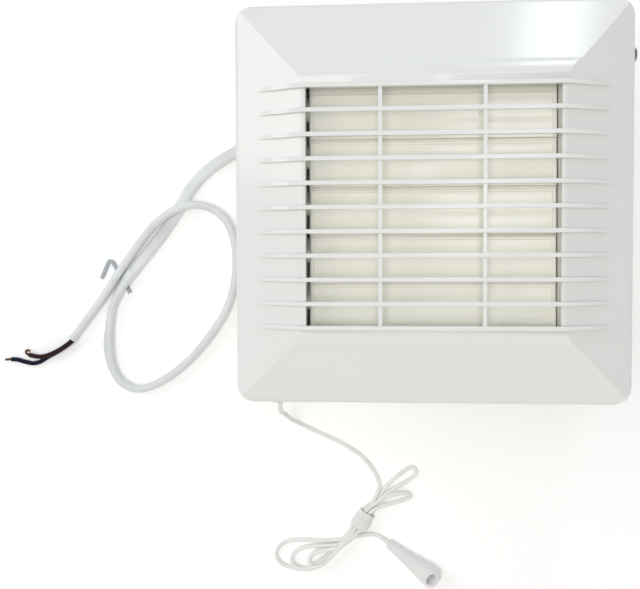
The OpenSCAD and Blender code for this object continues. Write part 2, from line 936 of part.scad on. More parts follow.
// Bag tie under both passes of the lead, with its bent end at the left and a stub at the right
tie_route = [
    [-147.8, -37.8, 0.7], [-149.2, -35.2, 0.5], [-151, -32.2, 0.5], [-152.8, -29.2, 0.5],
    [-154.4, -26.4, 0.5], [-155.6, -24, 0.6], [-156.6, -22.4, 0.8], [-158.2, -22, 0.8],
    [-159.2, -23.6, 0.8], [-160.6, -26.8, 0.7], [-162.4, -30.6, 0.7]
];
module flex_tie() {
    color([0.75, 0.77, 0.78])
        tube(tie_route, 2, 0.7, 8, []);
}

// ---------------------------------------------------------------- pull switch and cord

module switch_body() {
    color(white)
        translate(switch_at)
            difference() {
                union() {
                    cube(switch_box);
                    translate([switch_box[0] - 1, 3, 0])
                        cube([7.5, 12.5, 2.8]);
                }
                translate([1.6, 0.8, 1.6])
                    cube([switch_box[0] - 3.2, switch_box[1] - 2.4, switch_box[2]]);
                translate([cord_x - switch_at[0], 0, cord_z - switch_at[2]])
                    along_y(cord_d / 2 + 0.4, -1, 2);
                for (x = contact_x)
                    translate([x - 0.05, 17, 4.95])
                        cube([3.1, 6, 0.9]);
                for (y = [5.4, 12.4])
                    translate([22.7, y, -1])
                        cylinder(r = 1.5, h = 5);
            }
}

module switch_lid() {
    color(off_white)
        translate([switch_at[0], switch_at[1], switch_at[2] + switch_box[2]])
            cube([switch_box[0], switch_box[1], 1.4]);
}

module switch_contacts() {
    color(brass)
        for (x = contact_x)
            translate([switch_at[0] + x, switch_at[1] + 17.2, switch_at[2] + 5])
                cube([3, 7, 0.8]);
}

module switch_screws() {
    color(zinc)
        for (y = [-67, -60])
            translate([-50.5, y, plate_z + 2.8])
                pan_screw(1.15, 4.4, 2.3, 1.6);
}

// The slider that the cord pulls down inside the switch: rest is at the top of its travel
module switch_slider() {
    color(off_white)
        translate([cord_x, 0, cord_z])
            difference() {
                union() {
                    translate([-6, -62, -4.2])
                        cube([12, 6, 8.4]);
                    translate([-6.4, -60.5, -2])
                        cube([12.8, 3, 4]);
                }
                along_y(cord_d / 2, -63, -50);
            }
}

module switch_spring() {
    color(steel)
        translate([cord_x, -71.6, cord_z])
            spring_y(3.2, 0.35, 9.6, 5);
}

module cord_bush() {
    color(white)
        translate([cord_x, 0, cord_z])
            difference() {
                union() {
                    along_y(2.9, -80.8, -74.1);
                    along_y(4.6, -80.8, -79.5);
                }
                along_y(cord_d / 2 + 0.4, -90, -70);
            }
}

module pull_cord() {
    color(white) {
        tube(cord_route, cord_d, cord_d, 8);
        tube(tail_route, cord_d, cord_d, 8);
    }
}

// One end of the hank: a round-ended lobe from the tie to its far end, w wide
module hank_lobe(to, w) {
    away = to - hank_at;
    reach = norm(away);
    rotate([0, 0, atan2(away[1], away[0])])
        translate([0, 0, 0.3])
            linear_extrude(4.4) {
                translate([9, -w / 2])
                    square([reach - 9 - w / 2, w]);
                translate([reach - w / 2, 0])
                    circle(w / 2);
            }
}

module cord_hank() {
    color(white)
        translate([hank_at[0], hank_at[1], 0]) {
            rotate([0, 0, hank_dir])
                translate([0, 0, tie_t])
                    linear_extrude(tie_h - tie_t)
                        square([tie_len + 12, tie_w], center = true);
            hank_lobe(hank_ends[0], 17);
            hank_lobe(hank_ends[1], 12);
        }
}

module cord_tie() {
    color(white)
        translate([hank_at[0], hank_at[1], 0])
            rotate([0, 0, hank_dir])
                difference() {
                    translate([-tie_len / 2, -tie_w / 2 - tie_t, 0])
                        cube([tie_len, tie_w + 2 * tie_t, tie_h + tie_t]);
                    translate([-tie_len, -tie_w / 2, tie_t])
                        cube([2 * tie_len, tie_w, tie_h - tie_t]);
                }
}

// Tapered cord pull lying on its side, with a round end that has a hole for the cord's knot
module pull_handle() {
    rise = asin((handle_r[1] - handle_r[0]) / handle_widest);
    color(white)
        translate([handle_at[0], handle_at[1], handle_r[0] + 0.05])
            rotate([0, 0, handle_dir])
                rotate([0, 90 - rise, 0])
                    difference() {
                        rotate_extrude()
                            polygon([
                                [1.05, 0], [1.9, 0], [handle_r[0], 0.6], [3.0, 9], [4.3, 19],
                                [5.05, 24.4], [handle_r[1], handle_widest], [5.05, 27.8], [4.4, 29.1],
                                [3.2, 29.9], [1.6, handle_len], [0, handle_len], [0, 14], [1.05, 14]
                            ]);
                        translate([-2.2, 0, 24.6])
                            rotate([0, -52, 0])
                                translate([0, 0, -2.5])
                                    scale([0.65, 1, 1])
                                        cylinder(r = 2.8, h = 12);
                    }
}

// ---------------------------------------------------------------- nodes

front_cover();
rear_casing();
duct_tube();
motor_mount();
shutter_frame();
shutter_frame_screws();
shutter_blade(0);  // shutter_blade_1
shutter_blade(1);  // shutter_blade_2
shutter_blade(2);  // shutter_blade_3
shutter_blade(3);  // shutter_blade_4
shutter_blade(4);  // shutter_blade_5
shutter_link();
actuator_body();
actuator_clip();
actuator_plunger();
return_spring();
impeller();
impeller_clip();
rotor_shaft();
rotor_core();
thrust_washers();
bearing_bushes();
front_bearing_bracket();
rear_bearing_bracket();
stator_core();
shading_rings();
coil_bobbin();
coil_winding();
motor_screws();
motor_nuts();
cover_screw();
cover_washer();
terminal_block();
terminal_screws();
flex_grommet();
flex_clamp();
clamp_screws();
inner_flex();
supply_flex();
brown_core();
blue_core();
conductor_tips();
flex_tie();
switch_body();
switch_lid();
switch_contacts();
switch_slider();
switch_spring();
switch_screws();
cord_bush();
pull_cord();
cord_hank();
cord_tie();
pull_handle();
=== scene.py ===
import bpy, bmesh, json, math
from mathutils import Vector, Matrix


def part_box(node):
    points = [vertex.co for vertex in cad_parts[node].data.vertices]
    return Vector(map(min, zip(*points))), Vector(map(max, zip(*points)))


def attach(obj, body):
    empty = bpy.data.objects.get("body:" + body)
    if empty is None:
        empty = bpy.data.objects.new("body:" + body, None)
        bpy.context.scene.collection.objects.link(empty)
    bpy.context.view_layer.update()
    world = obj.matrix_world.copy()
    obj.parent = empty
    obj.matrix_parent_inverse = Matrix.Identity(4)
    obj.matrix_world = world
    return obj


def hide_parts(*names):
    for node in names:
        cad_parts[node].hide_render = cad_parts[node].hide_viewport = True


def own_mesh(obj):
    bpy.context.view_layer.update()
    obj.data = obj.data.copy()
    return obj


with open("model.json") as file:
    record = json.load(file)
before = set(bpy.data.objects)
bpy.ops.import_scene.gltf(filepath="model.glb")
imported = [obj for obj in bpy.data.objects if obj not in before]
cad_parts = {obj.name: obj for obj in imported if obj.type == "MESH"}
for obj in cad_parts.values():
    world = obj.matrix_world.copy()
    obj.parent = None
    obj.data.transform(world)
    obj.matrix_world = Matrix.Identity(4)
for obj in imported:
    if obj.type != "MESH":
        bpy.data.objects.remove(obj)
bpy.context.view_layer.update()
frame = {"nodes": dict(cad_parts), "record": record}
nodes = frame["nodes"]
MM = 0.001

# ------------------------------------------------------------------ camera
cam_data = bpy.data.cameras.new("camera")
cam = bpy.data.objects.new("camera", cam_data)
bpy.context.scene.collection.objects.link(cam)
cam_data.lens = 57.29
cam_data.sensor_width = 36
cam_data.clip_start = 0.01
turn = Matrix.Rotation(math.radians(-2.477), 3, "X") @ Matrix.Rotation(math.radians(4.88), 3, "Y")
cam.matrix_world = Matrix.Translation((-0.00992, -0.01702, 0.5)) @ turn.to_4x4()
bpy.context.scene.camera = cam

# ------------------------------------------------------------------ routes, as in the CAD, in mm
FLEX = [
    (-64, 62, 64), (-64, 62, 56), (-64, 62, 48), (-64.2, 61.6, 40), (-65.6, 59.2, 30.5),
    (-69, 53.8, 20.5), (-75, 46.2, 12), (-82.5, 39, 6), (-91, 33, 2.8), (-100, 28, 2),
    (-108.6, 22, 2), (-115.8, 14.4, 2), (-121.2, 6, 2), (-126.4, -2.2, 2),
    (-132.4, -10.4, 2), (-139.2, -18.8, 2), (-146.2, -27.4, 3.1), (-152.2, -36, 3.6),
    (-156.2, -45, 3.1), (-158, -54.6, 3.1), (-158.6, -64.6, 3.1), (-157, -74.4, 3.1),
    (-152.2, -82.2, 3.1), (-144.8, -85.6, 3.1), (-136.8, -84.2, 3.1), (-128.4, -79.8, 3.1),
    (-120, -73.4, 3.1), (-112, -65.2, 3.1), (-104.6, -55.8, 3.1), (-98.6, -45.6, 3.1),
    (-94.8, -34.4, 3.1), (-93.6, -22.6, 3.1), (-94.8, -11, 3.2), (-98.8, -1.6, 3.8),
    (-105.8, 4, 5.2), (-114, 5.6, 6.8), (-122.4, 3.6, 7.3), (-130, -1, 6.9),
    (-137, -7.4, 5.4), (-143.2, -14.8, 4.4), (-149, -22.6, 4), (-154.2, -30.2, 4),
    (-159, -37.4, 3.7), (-164.6, -45, 3.2), (-170.6, -52.8, 3.1), (-176.8, -61, 3.1),
]
INNER = [
    (-64, 62, 64), (-64, 62, 66.5), (-63.5, 62, 69), (-61.8, 62, 71.2), (-59, 62, 72.2),
    (-54, 62, 72.4), (-50, 62, 72.4), (-46.5, 62, 72.2),
]
BROWN = [
    (-177.2, -61.7, 4.3), (-181, -64.6, 4), (-185.4, -67.2, 3.8), (-189.6, -69, 3.6),
    (-194, -69.9, 2.6), (-198, -69.6, 1.6), (-200.2, -69.1, 1.3),
]
BLUE = [
    (-177.2, -61.7, 1.9), (-181.4, -65, 1.6), (-186, -67.8, 1.3), (-190.6, -70.2, 1.2),
    (-194.6, -72.6, 1.2), (-198.4, -73.4, 1.2), (-202.6, -72.6, 1.2), (-206.4, -71.6, 1.2),
    (-209.4, -71.4, 1.2),
]
BROWN_TIP = [
    (-200.2, -69.1, 1.3), (-201.6, -68.6, 1.2), (-201.9, -67.4, 1.3), (-200.9, -66.7, 1.5),
    (-199.8, -67.2, 1.7),
]
BLUE_TIP = [(-209.4, -71.4, 1.2), (-211, -71.5, 1.1), (-212.8, -71.7, 0.9)]
CORD = [
    (-63.6, -78, 73), (-63.6, -82, 72.9), (-63.6, -84.4, 71.8), (-63.7, -85.8, 69),
    (-64, -86.8, 64.5), (-64.4, -88.5, 56), (-64.8, -90.6, 46), (-65.3, -92.8, 36),
    (-65.8, -95, 26), (-66, -97.2, 17), (-65.6, -99.4, 9.4), (-64.2, -101.2, 4.4),
    (-61.6, -103, 1.8), (-57.6, -105, 1.1), (-51, -108, 1.1), (-44, -111.2, 1.1),
    (-37.2, -115, 1.1), (-31.4, -119.4, 1.1), (-27, -124.6, 1.1), (-24.2, -130, 1.1),
    (-23.6, -134, 1.4),
]
TIE = Vector((-31.6, -149.8, 0))
TIE_DIR = Vector((math.cos(math.radians(58)), math.sin(math.radians(58)), 0))
TIE_SIDE = Vector((-TIE_DIR.y, TIE_DIR.x, 0))


def through_tie(side, height, up):
    """Points of one straight pass through the tie, towards its upper right end if up"""
    reach = 5.5 if up else -5.5
    steps = [-reach, 0, reach]
    return [tuple(TIE + TIE_DIR * s + TIE_SIDE * side + Vector((0, 0, height))) for s in steps]


HANK = (
    [(-25.2, -138.4, 1.7)] + through_tie(0, 1.9, False)
    + [(-40.4, -159.6, 1.4), (-50, -161, 1.1), (-61, -160.8, 1.1), (-69, -161.6, 1.1),
       (-73.6, -164.6, 1.1), (-75, -168.8, 1.1), (-72.8, -172.6, 1.1), (-67.6, -174.8, 1.1),
       (-61, -175.6, 1.1), (-54.6, -174.4, 1.1), (-48.6, -170, 1.1), (-43, -164, 1.2)]
    + through_tie(-2.15, 1.9, True)
    + [(-21, -134.6, 1.4), (-16.6, -129.8, 1.1), (-12.4, -126.2, 1.1), (-9, -124.1, 1.1),
       (-7.3, -123.6, 1.1), (-5.8, -124.5, 1.1), (-5.3, -126.2, 1.1), (-6.2, -127.7, 1.1),
       (-9.6, -130.3, 1.2), (-13.6, -132.8, 1.6), (-19.4, -136.2, 3), (-24, -140.2, 3.8)]
    + through_tie(1.05, 3.8, False)
    + [(-41.6, -161.4, 3.5), (-49.6, -163.2, 2), (-57, -163.8, 1.1), (-62.6, -165.2, 1.1),
       (-66, -167.8, 1.2), (-67, -171.2, 2), (-65, -174, 3.1), (-60.6, -174.8, 3.3),
       (-54.6, -172.2, 3.2), (-48, -167.2, 3.2), (-42.4, -161.6, 2.6)]
    + through_tie(2.15, 1.9, True)
    + [(-23.4, -140.4, 2.6), (-18, -137.4, 3), (-13.4, -136.2, 3.4), (-10.4, -136.1, 3.3),
       (-8.6, -136.8, 2.8), (-8.2, -138, 1.9), (-9.4, -139, 1.2), (-13, -140.3, 1.1),
       (-18, -141.9, 1.4), (-23, -143, 2.8)]
    + through_tie(-1.05, 3.8, False)
    + [(-39.8, -161.2, 3.6), (-46.8, -164.2, 4.4), (-52.4, -165.6, 3.2), (-56.8, -168, 2.4),
       (-58.2, -170.8, 3.2), (-56.6, -173.2, 4.8), (-52.6, -172.4, 5.3), (-48, -168.4, 5.3),
       (-43.6, -163.8, 5.2), (-39.4, -160.2, 4.6), (-36, -158.4, 3.4)]
)
TAIL = [
    (-33.6, -158, 2.4), (-30.6, -157.6, 1.6), (-26.8, -157.4, 1.2), (-22.8, -158.6, 1.6),
    (-20.4, -160.2, 2.2), (-18.8, -161.4, 2.4),
]


CURVE_PARTS = 24


def smooth_path(points, step):
    """Points about step mm apart on a centripetal Catmull-Rom curve through the given ones. Each
    comes with how far along the given ones it is"""
    p = [Vector(q) for q in points]
    p = [p[0] * 2 - p[1]] + p + [p[-1] * 2 - p[-2]]
    fine = []
    for i in range(1, len(p) - 2):
        a, b, c, d = p[i - 1:i + 3]
        t0 = 0.0
        t1 = t0 + max((b - a).length, 1e-6) ** 0.5
        t2 = t1 + max((c - b).length, 1e-6) ** 0.5
        t3 = t2 + max((d - c).length, 1e-6) ** 0.5
        for k in range(CURVE_PARTS):
            part = k / CURVE_PARTS
            t = t1 + (t2 - t1) * part
            a1 = a * ((t1 - t) / (t1 - t0)) + b * ((t - t0) / (t1 - t0))
            a2 = b * ((t2 - t) / (t2 - t1)) + c * ((t - t1) / (t2 - t1))
            a3 = c * ((t3 - t) / (t3 - t2)) + d * ((t - t2) / (t3 - t2))
            b1 = a1 * ((t2 - t) / (t2 - t0)) + a2 * ((t - t0) / (t2 - t0))
            b2 = a2 * ((t3 - t) / (t3 - t1)) + a3 * ((t - t1) / (t3 - t1))
            at = b1 * ((t2 - t) / (t2 - t1)) + b2 * ((t - t1) / (t2 - t1))
            fine.append((at, i - 1 + part))
    fine.append((p[-2], len(p) - 3.0))
    out, run = [fine[0]], 0.0
    for (q, s), (q2, s2) in zip(fine, fine[1:]):
        run += (q2 - q).length
        if run >= step:
            out.append((q2, s2))
            run = 0.0
    if (out[-1][0] - fine[-1][0]).length < step * 0.4:
        out.pop()
    out.append(fine[-1])
    return out


def new_object(name, bm, smooth=True):
    mesh = bpy.data.meshes.new(name)
    bm.normal_update()
    bm.to_mesh(mesh)
    bm.free()
    if smooth:
        for f in mesh.polygons:
            f.use_smooth = True
    obj = bpy.data.objects.new(name, mesh)
    bpy.context.scene.collection.objects.link(obj)
    return obj


def level_side(pts, i):
    """A level direction across the path at point i, or at the next point where it isn't upright"""
    while True:
        t = (pts[min(i + 1, len(pts) - 1)] - pts[max(i - 1, 0)]).normalized()
        across = Vector((-t.y, t.x, 0))
        if across.length > 0.3 or i == len(pts) - 1:
            return across.normalized()
        i += 1


def sweep(name, path, outline, first_side=(0.3, 0.2, 1), roll=None):
    """A tube along path, in mm. outline is a list of pairs, across and up. first_side points across
    its start, or is None to keep the outline level. roll turns it at each point, in degrees. UV
    runs along the tube in cm and once round it."""
    pts = [Vector(q) for q in path]
    n = len(pts)
    lengths = [0.0]
    for a, b in zip(pts, pts[1:]):
        lengths.append(lengths[-1] + (b - a).length)
    side = Vector(first_side or (0, 0, 1))
    bm = bmesh.new()
    uv = bm.loops.layers.uv.new("UVMap")
    rings = []
    for i, q in enumerate(pts):
        t = (pts[min(i + 1, n - 1)] - pts[max(i - 1, 0)]).normalized()
        if first_side is None:
            side = level_side(pts, i)
        side = (side - t * side.dot(t)).normalized()
        up = t.cross(side)
        a = math.radians(roll[i]) if roll else 0.0
        s = side * math.cos(a) + up * math.sin(a)
        u = up * math.cos(a) - side * math.sin(a)
        rings.append([bm.verts.new((q + s * x + u * y) * MM) for x, y in outline])
    m = len(rings[0])
    for i in range(n - 1):
        for k in range(m):
            k2 = (k + 1) % m
            f = bm.faces.new((rings[i][k], rings[i][k2], rings[i + 1][k2], rings[i + 1][k]))
            for loop, (a, b) in zip(f.loops, ((i, k), (i, k + 1), (i + 1, k + 1), (i + 1, k))):
                loop[uv].uv = (lengths[a] * 0.1, b / m)
    bm.faces.new(list(reversed(rings[0])))
    bm.faces.new(rings[-1])
    bmesh.ops.recalc_face_normals(bm, faces=bm.faces)
    return new_object(name, bm)


def circle(r, sides):
    turns = [2 * math.pi * k / sides for k in range(sides)]
    return [(r * math.cos(a), r * math.sin(a)) for a in turns]


# ------------------------------------------------------------------ materials
DARK_AT, FULL_AT = 0.32, 0.62


def material(name, colour, rough, metallic=0.0, coat=0.0, bump=0.0, bump_scale=600.0, vary=0.03,
             spread=18.0, rough_vary=0.06, sheen=0.0, shine=0.5):
    """Noise drives the colour, the roughness and a fine bump, all in the object's own coordinates"""
    mat = bpy.data.materials.new(name)
    mat.use_nodes = True
    nt = mat.node_tree
    bsdf = nt.nodes["Principled BSDF"]
    coord = nt.nodes.new("ShaderNodeTexCoord")
    big = nt.nodes.new("ShaderNodeTexNoise")
    big.inputs["Scale"].default_value = spread
    big.inputs["Detail"].default_value = 5
    nt.links.new(coord.outputs["Object"], big.inputs["Vector"])
    ramp = nt.nodes.new("ShaderNodeValToRGB")
    dark = tuple(max(c * (1 - vary * 2.2), 0) for c in colour)
    ramp.color_ramp.elements[0].position = DARK_AT
    ramp.color_ramp.elements[1].position = FULL_AT
    ramp.color_ramp.elements[0].color = (*dark, 1)
    ramp.color_ramp.elements[1].color = (*colour, 1)
    nt.links.new(big.outputs["Fac"], ramp.inputs["Fac"])
    nt.links.new(ramp.outputs["Color"], bsdf.inputs["Base Color"])
    mottle = nt.nodes.new("ShaderNodeMapRange")
    mottle.inputs["To Min"].default_value = max(rough - rough_vary, 0.02)
    mottle.inputs["To Max"].default_value = min(rough + rough_vary, 1)
    small = nt.nodes.new("ShaderNodeTexNoise")
    small.inputs["Scale"].default_value = spread * 4
    small.inputs["Detail"].default_value = 6
    nt.links.new(coord.outputs["Object"], small.inputs["Vector"])
    nt.links.new(small.outputs["Fac"], mottle.inputs["Value"])
    nt.links.new(mottle.outputs["Result"], bsdf.inputs["Roughness"])
    bsdf.inputs["Metallic"].default_value = metallic
    bsdf.inputs["IOR"].default_value = 1.5
    bsdf.inputs["Coat Weight"].default_value = coat
    bsdf.inputs["Coat Roughness"].default_value = 0.08
    bsdf.inputs["Sheen Weight"].default_value = sheen
    bsdf.inputs["Specular IOR Level"].default_value = shine
    if bump:
        grain = nt.nodes.new("ShaderNodeTexNoise")
        grain.inputs["Scale"].default_value = bump_scale
        grain.inputs["Detail"].default_value = 3
        nt.links.new(coord.outputs["Object"], grain.inputs["Vector"])
        b = nt.nodes.new("ShaderNodeBump")
        b.inputs["Strength"].default_value = bump
        b.inputs["Distance"].default_value = 0.0002
        nt.links.new(grain.outputs["Fac"], b.inputs["Height"])
        nt.links.new(b.outputs["Normal"], bsdf.inputs["Normal"])
    return mat


METAL = dict(metallic=1, bump=0.1, bump_scale=1500)
MOULDED = dict(bump=0.12, bump_scale=900)
CORE_PVC = dict(shine=0.2, bump=0.1, bump_scale=900, vary=0.1)
MATS = {
    "cover_abs": material("cover_abs_look", (0.80, 0.805, 0.785), 0.14, coat=0.3, bump=0.05,
                          bump_scale=120, vary=0.01, spread=9, rough_vary=0.03),
    "casing_abs": material("casing_abs_look", (0.78, 0.77, 0.71), 0.36, vary=0.02, **MOULDED),
    # the blades are the cover's plastic; their cream tint is painted warm reflected light, and their
    # extra brightness over the cover is painted light that makes up for the shade of the bars
    "blade_abs": material("blade_abs_look", (0.89, 0.88, 0.79), 0.15, coat=0.25, bump=0.06,
                          bump_scale=70, vary=0.012, spread=12, rough_vary=0.04),
    "steel": material("steel_look", (0.56, 0.57, 0.59), 0.30, rough_vary=0.1, **METAL),
    "zinc_screw": material("zinc_look", (0.42, 0.43, 0.46), 0.26, rough_vary=0.1, **METAL),
    "brass": material("brass_look", (0.72, 0.54, 0.24), 0.28, rough_vary=0.08, **METAL),
    "copper": material("copper_look", (0.22, 0.11, 0.06), 0.42, metallic=1, bump=0.2,
                       bump_scale=1800, rough_vary=0.1),
    "black_nylon": material("black_nylon_look", (0.02, 0.02, 0.022), 0.42, vary=0.1, **MOULDED),
    "white_nylon": material("white_nylon_look", (0.76, 0.76, 0.73), 0.38, bump=0.1, bump_scale=900),
    "flex_pvc": material("flex_pvc_look", (0.76, 0.78, 0.79), 0.36, bump=0.12, bump_scale=500,
                         vary=0.04, spread=60),
    "brown_pvc": material("brown_pvc_look", (0.020, 0.008, 0.006), 0.46, **CORE_PVC),
    "blue_pvc": material("blue_pvc_look", (0.004, 0.008, 0.028), 0.46, **CORE_PVC),
    "tie_wire": material("tie_wire_look", (0.46, 0.50, 0.53), 0.40, bump=0.2, bump_scale=1400,
                         vary=0.08),
    "pull_cord": material("pull_cord_look", (0.90, 0.89, 0.87), 0.62, sheen=0.15, vary=0.04,
                          spread=90),
    "pull_plastic": material("pull_plastic_look", (0.80, 0.805, 0.795), 0.24, coat=0.15, bump=0.08,
                             bump_scale=250, vary=0.02),
}


def braid(mat, along, around, depth):
    """Crossing strands round a cord, from its UV. along is in radians a cm, depth in metres"""
    nt = mat.node_tree

    def maths(operation, *values):
        """A Math node. A value is a number or the socket that it comes from"""
        node = nt.nodes.new("ShaderNodeMath")
        node.operation = operation
        for k, value in enumerate(values):
            if isinstance(value, float):
                node.inputs[k].default_value = value
            else:
                nt.links.new(value, node.inputs[k])
        return node.outputs[0]

    uv = nt.nodes.new("ShaderNodeUVMap")
    uv.uv_map = "UVMap"
    split = nt.nodes.new("ShaderNodeSeparateXYZ")
    nt.links.new(uv.outputs["UV"], split.inputs["Vector"])
    waves = []
    for sign in (1, -1):
        lengthways = maths("MULTIPLY", split.outputs["X"], float(along))
        slant = maths("MULTIPLY_ADD", split.outputs["Y"], sign * around * 2 * math.pi, lengthways)
        waves.append(maths("SINE", slant))
    bump = nt.nodes.new("ShaderNodeBump")
    bump.inputs["Strength"].default_value = 0.4
    bump.inputs["Distance"].default_value = depth
    nt.links.new(maths("MULTIPLY", *waves), bump.inputs["Height"])
    nt.links.new(bump.outputs["Normal"], nt.nodes["Principled BSDF"].inputs["Normal"])


braid(MATS["pull_cord"], 26, 4, 0.0002)

slots = {s["node"]: s["material_slot"] for s in frame["record"]["subparts"]}
for name, obj in nodes.items():
    look = MATS[slots[name]]
    if not obj.material_slots:
        obj.data.materials.append(look)
    for s in obj.material_slots:
        s.material = look


def dress(obj, slot_name, body, *replaced):
    if not obj.data.materials:
        obj.data.materials.append(MATS[slot_name])
    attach(obj, body)
    if replaced:
        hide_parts(*replaced)
    return obj


# ------------------------------------------------------------------ moulded parts
bodies = frame["record"]["behaviour"]["bodies"]
body_of = {node: body for body, names in bodies.items() for node in names}


WELD = 0.002
FLAT_ANGLE = math.radians(0.6)
SHARP_ANGLE = math.radians(30)


def soften(node, radius):
    """A copy of a CAD node with its sharp edges rounded, which stands for it. radius is in mm"""
    bm = bmesh.new()
    bm.from_mesh(nodes[node].data)
    bmesh.ops.remove_doubles(bm, verts=bm.verts, dist=WELD * MM)
    bmesh.ops.dissolve_limit(bm, angle_limit=FLAT_ANGLE, verts=bm.verts, edges=bm.edges)
    obj = new_object(node + "_moulding", bm)
    rounding = obj.modifiers.new("rounding", "BEVEL")
    rounding.width = radius * MM
    rounding.segments = 2
    rounding.limit_method = "ANGLE"
    rounding.angle_limit = SHARP_ANGLE
    rounding.use_clamp_overlap = True
    flat = obj.modifiers.new("flat_faces", "WEIGHTED_NORMAL")
    flat.mode = "FACE_AREA_WITH_ANGLE"
    flat.weight = 100
    flat.keep_sharp = True
    return dress(obj, slots[node], body_of[node], node)


ROUNDING = {
    "cover_abs": 0.3, "casing_abs": 0.25, "blade_abs": 0.25, "white_nylon": 0.2, "black_nylon": 0.2,
}
for node in sorted(slots):
    if slots[node] in ROUNDING:
        soften(node, ROUNDING[slots[node]])
pull = soften("pull_handle", 0.25)


COIL_POINTS = 24


def coil_spring(node, wire, turns):
    """A wound spring along Y in a node's box, fixed to the casing"""
    low, high = (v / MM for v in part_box(node))
    x, z = (low.x + high.x) / 2, (low.z + high.z) / 2
    r = (high.x - low.x) / 2 - wire
    span = high.y - low.y - 2 * wire
    path = []
    for k in range(turns * COIL_POINTS + 1):
        done = k / COIL_POINTS
        first = min(1, done)
        last = 1 - min(1, turns - done)
        rise = (done - 0.5 * first - 0.5 * last) / (turns - 1)
        y = low.y + wire + span * min(max(rise, 0), 1)
        a = 2 * math.pi * done
        path.append((x + r * math.cos(a), y, z + r * math.sin(a)))
    obj = dress(sweep(node + "_coil", path, circle(wire, 10), (0, 1, 0)), "steel", "casing", node)
    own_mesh(obj)
    return obj


coil_spring("return_spring", 0.4, 9)
coil_spring("switch_spring", 0.35, 5)


# ------------------------------------------------------------------ supply lead
def stadium(w, t, dent=0.12, n=8):
    """Flat twin section: two round edges, with a slight dent along each face"""
    out = []
    r = t / 2
    for k in range(n + 1):
        a = -math.pi / 2 + math.pi * k / n
        out.append((w / 2 - r + r * math.cos(a), r * math.sin(a)))
    out.append((0, r - dent))
    for k in range(n + 1):
        a = math.pi / 2 + math.pi * k / n
        out.append((-w / 2 + r + r * math.cos(a), r * math.sin(a)))
    out.append((0, -r + dent))
    return out


FLEX_W, FLEX_T = 6.0, 3.8
ON_FLOOR = 3.05
FLOOR_GAP = 0.06
# how far the section is rolled at each point of the route, in degrees
ROLL_AT = {0: 0, 15: 0, 16: 18, 17: 60, 18: 88, 19: 66, 20: 40, 21: 62, 22: 88, 45: 90}
keys = sorted(ROLL_AT)


def roll_at(s):
    for a, b in zip(keys, keys[1:]):
        if a <= s <= b:
            f = (s - a) / (b - a)
            f = f * f * (3 - 2 * f)
            return ROLL_AT[a] + (ROLL_AT[b] - ROLL_AT[a]) * f
    return ROLL_AT[keys[-1]]


flex_fine = smooth_path(FLEX, 1.2)
flex_roll = [roll_at(s) for _, s in flex_fine]
flex_path = []
for (q, s), a in zip(flex_fine, flex_roll):
    half = (FLEX_W / 2 - FLEX_T / 2) * abs(math.sin(math.radians(a))) + FLEX_T / 2
    low = half + FLOOR_GAP
    flex_path.append(Vector((q.x, q.y, low if q.z < ON_FLOOR else max(q.z, low))))
flex_section = stadium(FLEX_W, FLEX_T)
flex = sweep("flex_sheath", flex_path, flex_section, None, flex_roll)
dress(flex, "flex_pvc", "casing", "supply_flex")


inner = sweep("flex_inside", [q for q, _ in smooth_path(INNER, 1)], flex_section, (0, 1, 0))
dress(inner, "flex_pvc", "casing", "inner_flex")


CORE_R = 1.1


def core(name, points, slot_name, replaced):
    """An insulated core, whose first point is inside the sheath's end"""
    path = [q for q, _ in smooth_path(points, 0.7)]
    return dress(sweep(name, path, circle(CORE_R, 16)), slot_name, "casing", replaced)


brown = core("brown_core_end", [(-175.6, -59.4, 4.3)] + BROWN, "brown_pvc", "brown_core")
blue = core("blue_core_end", [(-175.6, -59.4, 1.9)] + BLUE, "blue_pvc", "blue_core")


STRANDS = 7
STRAND_R = 0.2
LAY_R = 0.37
LAY_TURN = 0.30


def strands(name, points):
    """Bare wire: fine strands, one straight and the rest twisted round it"""
    path = [q for q, _ in smooth_path(points, 0.35)]
    bm = bmesh.new()
    parts = []
    for k in range(STRANDS):
        r = 0.0 if k == 0 else LAY_R
        line = []
        for i, q in enumerate(path):
            a = 2 * math.pi * k / (STRANDS - 1) + i * LAY_TURN
            t = (path[min(i + 1, len(path) - 1)] - path[max(i - 1, 0)]).normalized()
            side = t.cross(Vector((0, 0, 1))).normalized()
            up = side.cross(t)
            line.append(q + side * r * math.cos(a) + up * r * math.sin(a))
        parts.append(sweep(name + f"_{k}", line, circle(STRAND_R, 8)))
    for p in parts:
        bm.from_mesh(p.data)
        bpy.data.objects.remove(p)
    return new_object(name, bm)


brown_tip = dress(strands("brown_strands", BROWN_TIP), "copper", "casing", "conductor_tips")
blue_tip = dress(strands("blue_strands", BLUE_TIP), "copper", "casing")

# twist tie on the floor under the lead: a flat ribbon with its wire along the middle
TWIST = [
    (-147.8, -37.8, 0.7), (-149.2, -35.2, 0.5), (-151, -32.2, 0.5), (-152.8, -29.2, 0.5),
    (-154.4, -26.4, 0.5), (-155.6, -24, 0.6), (-156.6, -22.4, 0.8), (-158.2, -22, 0.8),
    (-159.2, -23.6, 0.8), (-160.6, -26.8, 0.7), (-162.4, -30.6, 0.7),
]
ribbon = [(-1, 0.1), (-0.35, 0.12), (-0.2, 0.32), (0.2, 0.32), (0.35, 0.12), (1, 0.1),
          (1, -0.1), (0.35, -0.12), (0.2, -0.32), (-0.2, -0.32), (-0.35, -0.12), (-1, -0.1)]
tie = sweep("twist_tie", [q for q, _ in smooth_path(TWIST, 0.5)], ribbon, None)
dress(tie, "tie_wire", "casing", "flex_tie")

# ------------------------------------------------------------------ pull cord, hank and tie
cord_path = [q for q, _ in smooth_path(CORD + HANK + TAIL, 0.6)]
CORD_R = 0.98
cord = sweep("cord_line", cord_path, circle(CORD_R, 12))
dress(cord, "pull_cord", "pull_switch", "pull_cord", "cord_hank")

